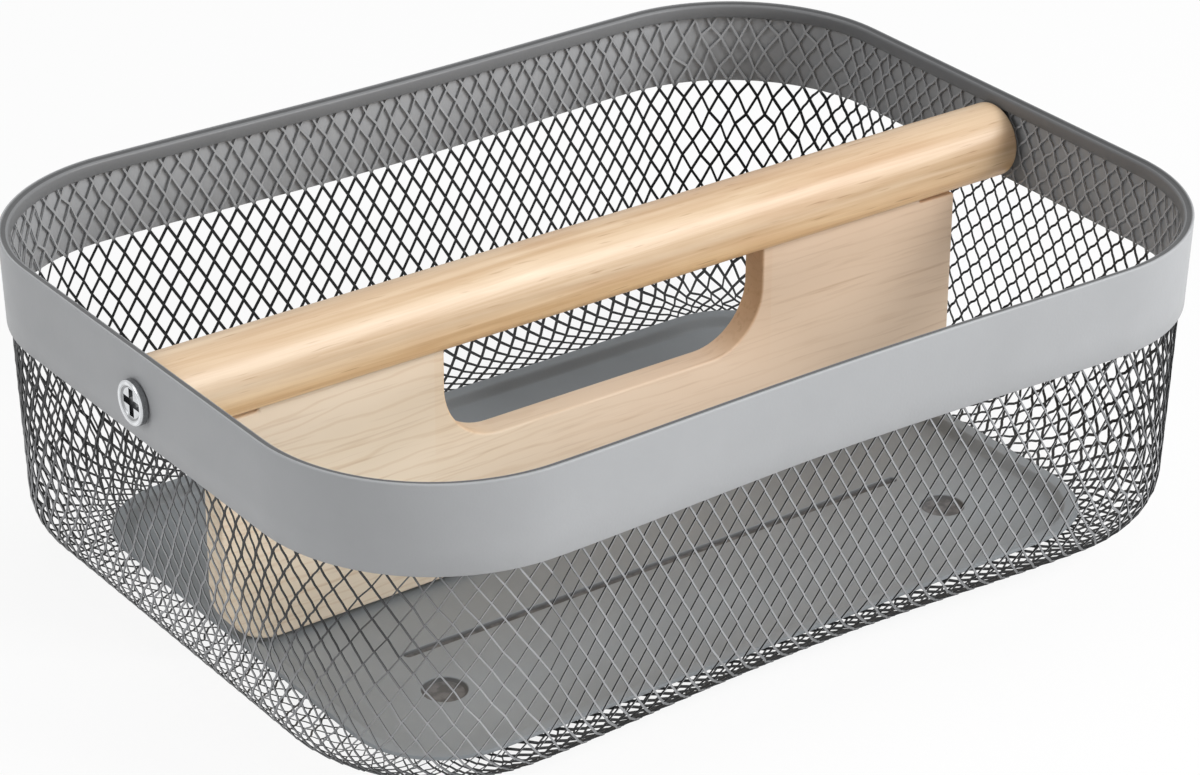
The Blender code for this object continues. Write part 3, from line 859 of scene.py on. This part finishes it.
def mesh_line(distance):
    """Inset, height, bow and outward direction of the mesh, at a distance down from its top edge."""
    if distance <= WALL_LENGTH:
        height = MESH_TOP - distance
        return MESH_INSET + wall_inset(height), height, side_bow(height), (-1.0, 0.0)
    distance -= WALL_LENGTH
    if distance <= BEND_LENGTHS[-1]:
        place = next(i for i in range(BEND_STEPS) if BEND_LENGTHS[i + 1] >= distance)
        share = (distance - BEND_LENGTHS[place]) / (BEND_LENGTHS[place + 1] - BEND_LENGTHS[place])
        turn = pi / 2 * (place + share) / BEND_STEPS
        across, down = cos(turn) * FOOT_RISE, sin(turn) * FOOT_RUN
        size = hypot(across, down)
        return *foot_bend(turn), (-across / size, -down / size)
    return MARGIN_END - MARGIN_LENGTH + distance - BEND_LENGTHS[-1], MESH_FLOOR, 0.0, (0.0, -1.0)


# The lattice of the expanded sheet

COLUMN_TABLE = places_round({segment: 2 * columns for segment, columns in COLUMNS.items()})


def column_place(position):
    """The segment and share at a position counted in half columns."""
    count = len(COLUMN_TABLE)
    whole = floor(position)
    segment, share = COLUMN_TABLE[whole % count]
    following = COLUMN_TABLE[(whole + 1) % count]
    step = (following[1] if following[0] == segment else 1.0) - share
    return segment, share + step * (position - whole)


def blended(shares, position, plain=1.0):
    """A segment's own value, or the plain one, blended with its neighbours' near its ends."""
    near = [column_place(position + step)[0] for step in BLEND_STEPS]
    return sum(shares.get(segment, plain) for segment in near) / len(near)


def short_share(position):
    """1 on the short walls and 0 on the long ones, changing in the half of each corner by the short wall."""
    segment, share = column_place(position)
    if not segment.startswith("corner"):
        return 1.0 if segment in ("left", "right") else 0.0
    near = 1.0 - share if segment in ("corner_back_right", "corner_front_left") else share
    return eased(rise(near, 0.5, 1.0))


def closing_distance(row, pitch, even_rows):
    """Distance down the sheet at a row: an even pitch down the wall, then closer rows round the bend."""
    rest = HALF_ROWS - even_rows - CLOSING_ROWS
    last = (MESH_LENGTH - pitch * (even_rows + CLOSING_ROWS / 2)) / (rest + CLOSING_ROWS / 2)
    past = min(max(row - even_rows, 0.0), CLOSING_ROWS)
    beyond = max(row - even_rows - CLOSING_ROWS, 0.0)
    closed = past * pitch + (last - pitch) * past * past / (2 * CLOSING_ROWS)
    return min(row, even_rows) * pitch + closed + beyond * last


def row_distance(position, row):
    """Distance down the sheet of a half row; the short walls are drawn out less, so their rows are closer."""
    behind = "back" in column_place(position)[0]
    long_wall = closing_distance(row, EVEN_PITCH, BACK_EVEN_ROWS if behind else EVEN_ROWS)
    short_wall = closing_distance(row, SHORT_EVEN_PITCH, SHORT_EVEN_ROWS)
    return long_wall + (short_wall - long_wall) * short_share(position)


def mesh_point(position, row, offset):
    """A point of the mesh, from its place in half columns and half rows and its offset outwards."""
    inset, height, bow, out = mesh_line(row_distance(position, row))
    leaning = LEAN * short_share(position) * (min(row, SHORT_EVEN_ROWS) - SHORT_EVEN_ROWS / 2)
    segment, share = column_place(position + leaning)
    x, y = plan_point(segment, share, inset + out[0] * offset, bow)
    return x, y, height + out[1] * offset


def corner_share(position, row):
    """0 on the plain walls, rising to 1 in the corners and half-way on the bend, where the sheet is drawn."""
    bend = rise(row_distance(position, row) / MESH_LENGTH, *DRAWN_BEND)
    return max(blended(CORNER_SHARES, position), DRAWN_BEND_SHARE * bend)


def hidden_share(position, row):
    """1 on the rows that are flattened behind the band, and 0 below them."""
    covered = MESH_TOP - BAND_BOTTOM
    return 1.0 - rise(row_distance(position, row), covered - HIDDEN_EASE, covered)


def strand_shade(position, row):
    """The painted light and shade on the outward faces: darker high up in corners and on short walls, and on
    the bend.
    """
    distance = row_distance(position, row)
    segment, share = column_place(position)
    lit_from = LIT_DEPTH
    if segment == "left":
        lit_from -= LEFT_LIT_LIFT * rise(share, *LEFT_LIT_START) * (1.0 - rise(share, *LEFT_LIT_END))
    low = rise(distance, lit_from, lit_from + LIT_EASE)
    bend = rise(distance, *SHADED_BEND)
    shaded = blended(SHADED_SHARES, position)
    if segment == "corner_front_left":
        shaded *= 1.0 - rise(share, *NEAR_CORNER_FADE)
    darkening = HIGH_DARKENING + (LOW_DARKENING - HIGH_DARKENING) * low
    plain = PLAIN_SHADE + (1.0 - PLAIN_SHADE) * low * blended(LIT_SHARES, position, 0.0)
    return plain * (1.0 - darkening * shaded) * (1.0 - BEND_DARKENING * bend)


def wander(position, row):
    """How far a bond strays, in half columns and half rows: more where the sheet is drawn."""
    turn = 2 * pi * position / len(COLUMN_TABLE)
    bend = rise(row_distance(position, row) / MESH_LENGTH, *WANDER_BEND)
    drawn = (WANDER_CORNER + WANDER_ON_BEND * bend) * corner_share(position, row)
    shown = WANDER_PLAIN + drawn * blended(WANDER_SHARES, position)
    amount = shown + WANDER_HIDDEN * hidden_share(position, row)
    seed = Vector((cos(turn) * WANDER_ROUND, sin(turn) * WANDER_ROUND, row * WANDER_BY_ROW))
    return amount * noise.noise(seed), amount * WANDER_DOWN * noise.noise(seed + WANDER_OFFSET)


def bond_corners(i, j, bond):
    """A bond's four corners: place in half columns and half rows, and offset outwards."""
    across, down = wander(i, j)
    drawn, hidden = corner_share(i, j), hidden_share(i, j)
    bend = rise(row_distance(i, j), *WIDENED_BEND)
    width = (1.0 - CORNER_NARROWING * drawn) * blended(WIDTH_SHARES, i) * (1.0 + BEND_WIDENING * bend)
    reach = bond * (width + (1.0 + HIDDEN_WIDENING - width) * hidden)
    flattened = (1.0 - CORNER_FLATTENING * drawn) * (1.0 - HIDDEN_FLATTENING * hidden)
    tilt = BOND_TILT * blended(TILT_SHARES, i) * flattened
    row = j + down
    return {"up": (i + across, row - reach, 0.0), "down": (i + across, row + reach, 0.0),
            "left": (i + across - reach, row, tilt), "right": (i + across + reach, row, -tilt)}


def strand_edge(start, end, side, curl):
    """Points between two bonds' corners, on a line that is steeper at both ends with more curl."""
    points = []
    for step in range(1, CURL_STEPS):
        share = step / CURL_STEPS
        position, row, offset = (a + (b - a) * share for a, b in zip(start, end))
        points.append((position - side * curl * sin(2 * pi * share), row, offset))
    return points


class Lattice:
    """The points of the expanded sheet, each with a vertex on its outer and then one on its inner face."""

    def __init__(self):
        half_column = (LENGTH - 2 * CORNER_RADIUS) / (2 * LONG_COLUMNS)
        bond = STRAND_WIDTH / 2 * hypot(half_column, EVEN_PITCH) / (half_column * EVEN_PITCH)
        self.count = len(COLUMN_TABLE)
        places = [(i, j) for i in range(self.count) for j in range(HALF_ROWS + 1) if (i + j) % 2 == 0]
        self.bonds = {(i, j): bond_corners(i, j, bond) for i, j in places}
        self.vertices = []
        self.corners = {}

    def add(self, place):
        """Adds a point and returns the number of its outer vertex."""
        position, row, offset = place
        thinned = 1.0 - CORNER_THINNING * corner_share(position, row)
        sheet = STRAND_SHEET * blended(SHEET_SHARES, position) * thinned
        for side in (0.5, -0.5):
            self.vertices.append(mesh_point(position, min(max(row, 0.0), HALF_ROWS), side * sheet + offset))
        return len(self.vertices) - 2

    def corner(self, i, j, name):
        """The outer vertex of a bond's corner, which its strands share."""
        key = (i % self.count, j, name)
        if key not in self.corners:
            self.corners[key] = self.add(self.bonds[key[:2]][name])
        return self.corners[key]

    def edge(self, i, j, name, side, far_name):
        """Outer vertices from a bond's corner to a corner of the bond below it on one side."""
        start = self.bonds[(i, j)][name]
        end = self.bonds[((i + side) % self.count, j + 1)][far_name]
        if abs(end[0] - start[0]) > self.count / 2:
            end = (end[0] + side * self.count, end[1], end[2])
        curl = CURL * short_share(i) * (1.0 if side > 0 else BACKWARD_CURL)
        between = [self.add(place) for place in strand_edge(start, end, side, curl)] if curl > 0 else []
        return [self.corner(i, j, name)] + between + [self.corner(i + side, j + 1, far_name)]

    def cells(self, i, j):
        """The outer faces of a bond and of the two strands that leave it downwards."""
        names = ["up", "right", "down", "left"]
        if j == 0:
            names.remove("up")
        if j == HALF_ROWS:
            names.remove("down")
        cells = [[self.corner(i, j, name) for name in names]]
        if j < HALF_ROWS:
            for side, first, first_end, second, second_end in STRAND_ENDS:
                one = self.edge(i, j, first, side, first_end)
                two = self.edge(i, j, second, side, second_end)
                cells += [[one[k], one[k + 1], two[k + 1], two[k]] for k in range(len(one) - 1)]
        return cells


def sheet_walls(cells):
    """Faces from the sheet's outer to its inner side, along the edges that only one outer face has."""
    edges = {}
    for cell in cells:
        for first, second in zip(cell, cell[1:] + cell[:1]):
            edges.setdefault(frozenset((first, second)), []).append((first, second))
    lone = [uses[0] for uses in edges.values() if len(uses) == 1]
    return [(second, first, first + 1, second + 1) for first, second in lone]


def expanded_mesh(material):
    """One expanded sheet round the whole basket: tilted bonds joined by slanting strands."""
    lattice = Lattice()
    cells, shades = [], []
    for i, j in lattice.bonds:
        cells += lattice.cells(i, j)
        # A bond of the last row, hidden under the base, takes the shade of the bond after it
        if j < HALF_ROWS:
            shades += [strand_shade(i, j)] * (len(cells) - len(shades))
    inner = [[place + 1 for place in reversed(cell)] for cell in cells]
    faces = cells + inner + sheet_walls(cells)
    piece = finished("expanded_mesh", lattice.vertices, faces, material, "basket")
    # Each outer face keeps its painted light and shade for the strands' coat
    painted_strand_shade = piece.data.attributes.new("painted_strand_shade", "FLOAT", "FACE")
    for number, shade in enumerate(shades):
        painted_strand_shade.data[number].value = shade
    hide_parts(*[f"mesh_{segment}" for segment in SEGMENTS])


# The base

def rounded_ring(half_length, half_width, radius, height, steps=14):
    ring = []
    for quarter, (x, y) in enumerate(((1, 1), (-1, 1), (-1, -1), (1, -1))):
        centre = (x * (half_length - radius), y * (half_width - radius))
        ring += arc(centre, radius, 90 * quarter, 90 * quarter + 90, steps)
    return [(x, y, height) for x, y in ring]


def eased_step(start, end, low, high, steps=8):
    """(position, height) points of a pressed step with rounded shoulders."""
    shares = [i / steps for i in range(steps + 1)]
    return [(start + (end - start) * share, low + (high - low) * eased(share)) for share in shares]


def plate_lines():
    """(position, height) down the plate's top face, from its edge to its floor."""
    slope_start = PLATE_INSET + PLATE_FLANGE - PLATE_SHOULDER
    slope_end = PLATE_INSET + PLATE_FLANGE + RECESS_SLOPE + PLATE_SHOULDER
    edge = [(PLATE_INSET + PLATE_EDGE_EASE, FLANGE_TOP - PLATE_EDGE_EASE),
            (PLATE_INSET + 2 * PLATE_EDGE_EASE, FLANGE_TOP)]
    return edge + eased_step(slope_start, slope_end, FLANGE_TOP, PLATE_TOP)


def plate_ring(position, height):
    return rounded_ring(LENGTH / 2 - position, WIDTH / 2 - position, CORNER_RADIUS - position, height)


def pressed_tool(name, places, half_length, radius, slope, low, high, material):
    """Closed bodies with round ends and eased sides, one at each place, for pressing feet and beads."""
    vertices, faces = [], []
    levels = eased_step(0.0, 1.0, low, high, 6)
    for x, y in places:
        start = len(vertices)
        for share, height in levels:
            reach = radius - slope * (1.0 - share)
            ring = rounded_ring(half_length + reach, reach, reach * ROUND_END, height, 9)
            vertices += [(x + ring_x, y + ring_y, ring_z) for ring_x, ring_y, ring_z in ring]
        size = (len(vertices) - start) // len(levels)
        faces += [[start + place for place in face] for face in capped_faces(len(levels), size)]
    return finished(name, vertices, faces, material)


def press_floor(plate, material):
    """Presses two beads and four feet down into the plate's floor."""
    feet = [(x * DIMPLE_X, y * DIMPLE_Y) for x in (-1, 1) for y in (-1, 1)]
    beads = [(0.0, -BEAD_Y), (0.0, BEAD_Y)]
    reach = BEAD_LENGTH / 2 - BEAD_WIDTH / 2
    wall = PLATE_SHEET / 2
    middle = PLATE_TOP - wall
    under = (0.0, middle - wall - BEAD_DEPTH, middle)
    over = (PLATE_SHEET, PLATE_TOP - BEAD_DEPTH, PLATE_TOP + TOOL_OVERLAP)
    for operation, inset, (foot_low, bead_low, top) in (("UNION", 0.0, under), ("DIFFERENCE", wall, over)):
        foot, bead = DIMPLE_RADIUS - inset, BEAD_WIDTH / 2 - inset
        carve(plate, [
            pressed_tool("feet", feet, 0.0, foot, DIMPLE_SLOPE, foot_low, top, material),
            pressed_tool("beads", beads, reach, bead, BEAD_SLOPE, bead_low, top, material),
        ], operation)


def base_plate(material):
    """The pressed base with rounded bends: flange, sunk floor, two stiffening beads and four feet."""
    top = plate_lines()
    bottom = [(position - PLATE_BACK_SHIFT, height - PLATE_SHEET) for position, height in top]
    rings = [plate_ring(*line) for line in top[::-1] + bottom]
    vertices = [point for ring in rings for point in ring]
    faces = capped_faces(len(rings), len(rings[0]))
    plate = finished("base_plate_pressed", vertices, faces, material, "basket")
    press_floor(plate, material)
    smoothed(plate.data, SHARP_ANGLE)
    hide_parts("base_plate")


# The handle

def tongue_pocket(side, material):
    """A tool for a tongue's pocket, a little larger than the tongue."""
    near, far = SLOT_LENGTH / 2 - FIT_GAP, BOARD_LENGTH / 2 - TONGUE_END + FIT_GAP
    reach = BOARD_THICKNESS / 2 + FIT_GAP
    outline = [(side * near, -reach), (side * far, -reach), (side * far, reach), (side * near, reach)]
    top = DOWEL_BOTTOM + TONGUE_DEPTH + FIT_GAP
    return prism(f"pocket_{side}", outline, AXIS_HEIGHT - 2 * DOWEL_RADIUS, top, "Z", material)


def handle_bar(material):
    """The turned bar with rounded ends, bored for its inserts and pocketed for the board's tongues."""
    straight = DOWEL_END - DOWEL_END_ROUND
    bore_end = DOWEL_END - INSERT_DEPTH
    half = [(bore_end, 0.0), (bore_end, INSERT_RADIUS), (DOWEL_END, INSERT_RADIUS)]
    half += arc((straight, DOWEL_RADIUS - DOWEL_END_ROUND), DOWEL_END_ROUND, 0, 90, 7)
    between = [((1 - 2 * i / DOWEL_RINGS) * straight, DOWEL_RADIUS) for i in range(1, DOWEL_RINGS)]
    profile = half + between + [(-distance, radius) for distance, radius in half[::-1]]
    bar = turned("turned_bar", profile, DOWEL_SIDES, material)
    carve(bar, [tongue_pocket(side, material) for side in (-1, 1)])
    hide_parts("handle_dowel")


def board_outline():
    """The board from the front: rounded feet, shoulders, tongues and the hand slot between them."""
    half = BOARD_LENGTH / 2
    shoulder = DOWEL_BOTTOM - SHOULDER_GAP
    tongue, tongue_top = half - TONGUE_END, DOWEL_BOTTOM + TONGUE_DEPTH
    slot = SLOT_LENGTH / 2
    corner, corner_height = half - BOARD_FOOT_RADIUS, BOARD_FOOT + BOARD_FOOT_RADIUS
    bend, bend_height = slot - SLOT_RADIUS, DOWEL_BOTTOM - SLOT_DEPTH + SLOT_RADIUS
    right = [(half, shoulder), (tongue, shoulder), (tongue, tongue_top), (slot, tongue_top)]
    return (
        arc((-corner, corner_height), BOARD_FOOT_RADIUS, 180, 270, BOARD_STEPS)
        + arc((corner, corner_height), BOARD_FOOT_RADIUS, 270, 360, BOARD_STEPS)
        + right
        + arc((bend, bend_height), SLOT_RADIUS, 0, -90, BOARD_STEPS)
        + arc((-bend, bend_height), SLOT_RADIUS, -90, -180, BOARD_STEPS)
        + [(-x, height) for x, height in reversed(right)]
    )


def divider(material):
    """The flat board with its edges eased."""
    half = BOARD_THICKNESS / 2
    board = prism("divider_panel", board_outline(), -half, half, "Y", material, "handle")
    edge = board.modifiers.new("eased_edges", "BEVEL")
    edge.width = BOARD_EASE
    edge.segments = 3
    edge.limit_method = "ANGLE"
    edge.angle_limit = radians(60)
    apply_modifiers(board)
    smoothed(board.data, SHARP_ANGLE)
    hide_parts("divider_board")


def screw_section():
    """(distance, radius, tone up to the next point) along a screw's shank and over its dished head; the tone
    is painted shade.
    """
    head_edge = arc((HEAD_TOP - HEAD_ROUND, HEAD_RADIUS - HEAD_ROUND), HEAD_ROUND, 90, 0, 5)
    ring = HEAD_RADIUS - HEAD_RIM
    return [
        (SHANK_START, 0.0, 1.0),
        (SHANK_START, SHANK_RADIUS - SHANK_CHAMFER_RISE, 1.0),
        (SHANK_START + SHANK_CHAMFER, SHANK_RADIUS, 1.0),
        (HEAD_SEAT, SHANK_RADIUS, HEAD_UNDER_SHADE),
        (HEAD_SEAT, HEAD_RADIUS, HEAD_SIDE_SHADE),
        *[(*point, HEAD_EDGE_SHADE) for point in head_edge[:-1]],
        (*head_edge[-1], 1.0),
        (HEAD_TOP, ring, HEAD_EDGE_SHADE),
        (HEAD_TOP - RIM_CHAMFER_DEPTH, ring - RIM_CHAMFER, DISH_SIDE_SHADE),
        (DISH_FLOOR, DISH_RADIUS, DISH_SHADE),
        (DISH_FLOOR, 0.0, DISH_SHADE),
    ]


def cross_tool(word, side, material):
    """A tool for a broad cross recess, which gives the recess its painted shade."""
    cross = []
    for y, z in ((1, 0), (0, 1), (-1, 0), (0, -1)):
        for across, along in ((-CROSS_ARM, CROSS_REACH), (CROSS_ARM, CROSS_REACH), (CROSS_ARM, CROSS_ARM)):
            cross.append((along * y - across * z, AXIS_HEIGHT + along * z + across * y))
    low, high = sorted((side * (DISH_FLOOR - CROSS_DEPTH), side * (HEAD_TOP + CROSS_OVERLAP)))
    tool = prism(f"cross_{word}", cross, low, high, "X", material)
    set_painted_shading(tool, [CROSS_SHADE])
    return tool


def pivot_screw(word, side, material):
    """A pan head with a raised rim, a dished face and a broad cross recess, on its shank."""
    section = screw_section()
    profile = [(distance, radius) for distance, radius, tone in section]
    screw = turned(f"pan_head_screw_{word}", profile, SCREW_SIDES, material, side, SCREW_SHARP_ANGLE)
    # Painted shade on the screw's faces, ring by ring
    set_painted_shading(screw, [tone for distance, radius, tone in section[:-1] for i in range(SCREW_SIDES)])
    carve(screw, [cross_tool(word, side, material)])
    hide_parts(f"pivot_screw_{word}")


def make_object():
    band_paint = powder_coat("grey_powder_coat", BAND_PAINT, 0.03, 0.42, painted_face_shading)
    sunk_shade = partial(painted_sunk_shade, level=PLATE_TOP)
    # The base's coat is darker than the band's as painted shade, and takes painted shade in its pressed
    # hollows
    shaded_base_paint = powder_coat("grey_powder_coat_base_shaded", SHADED_BASE_PAINT, 0.05, 0.48, sunk_shade)
    mesh_paint = mesh_coat("grey_powder_coat_mesh", 0.45)
    rim_band(band_paint)
    expanded_mesh(mesh_paint)
    base_plate(shaded_base_paint)
    handle_bar(dowel_wood())
    divider(board_wood())
    zinc = plated("bright_zinc", ZINC, 0.20, painted_face_shading)
    brass = plated("turned_brass", BRASS, 0.32, plain_tone)
    for word, side in (("left", -1), ("right", 1)):
        pivot_screw(word, side, zinc)
        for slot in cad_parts[f"threaded_insert_{word}"].material_slots:
            slot.material = brass


make_stage()
make_object()
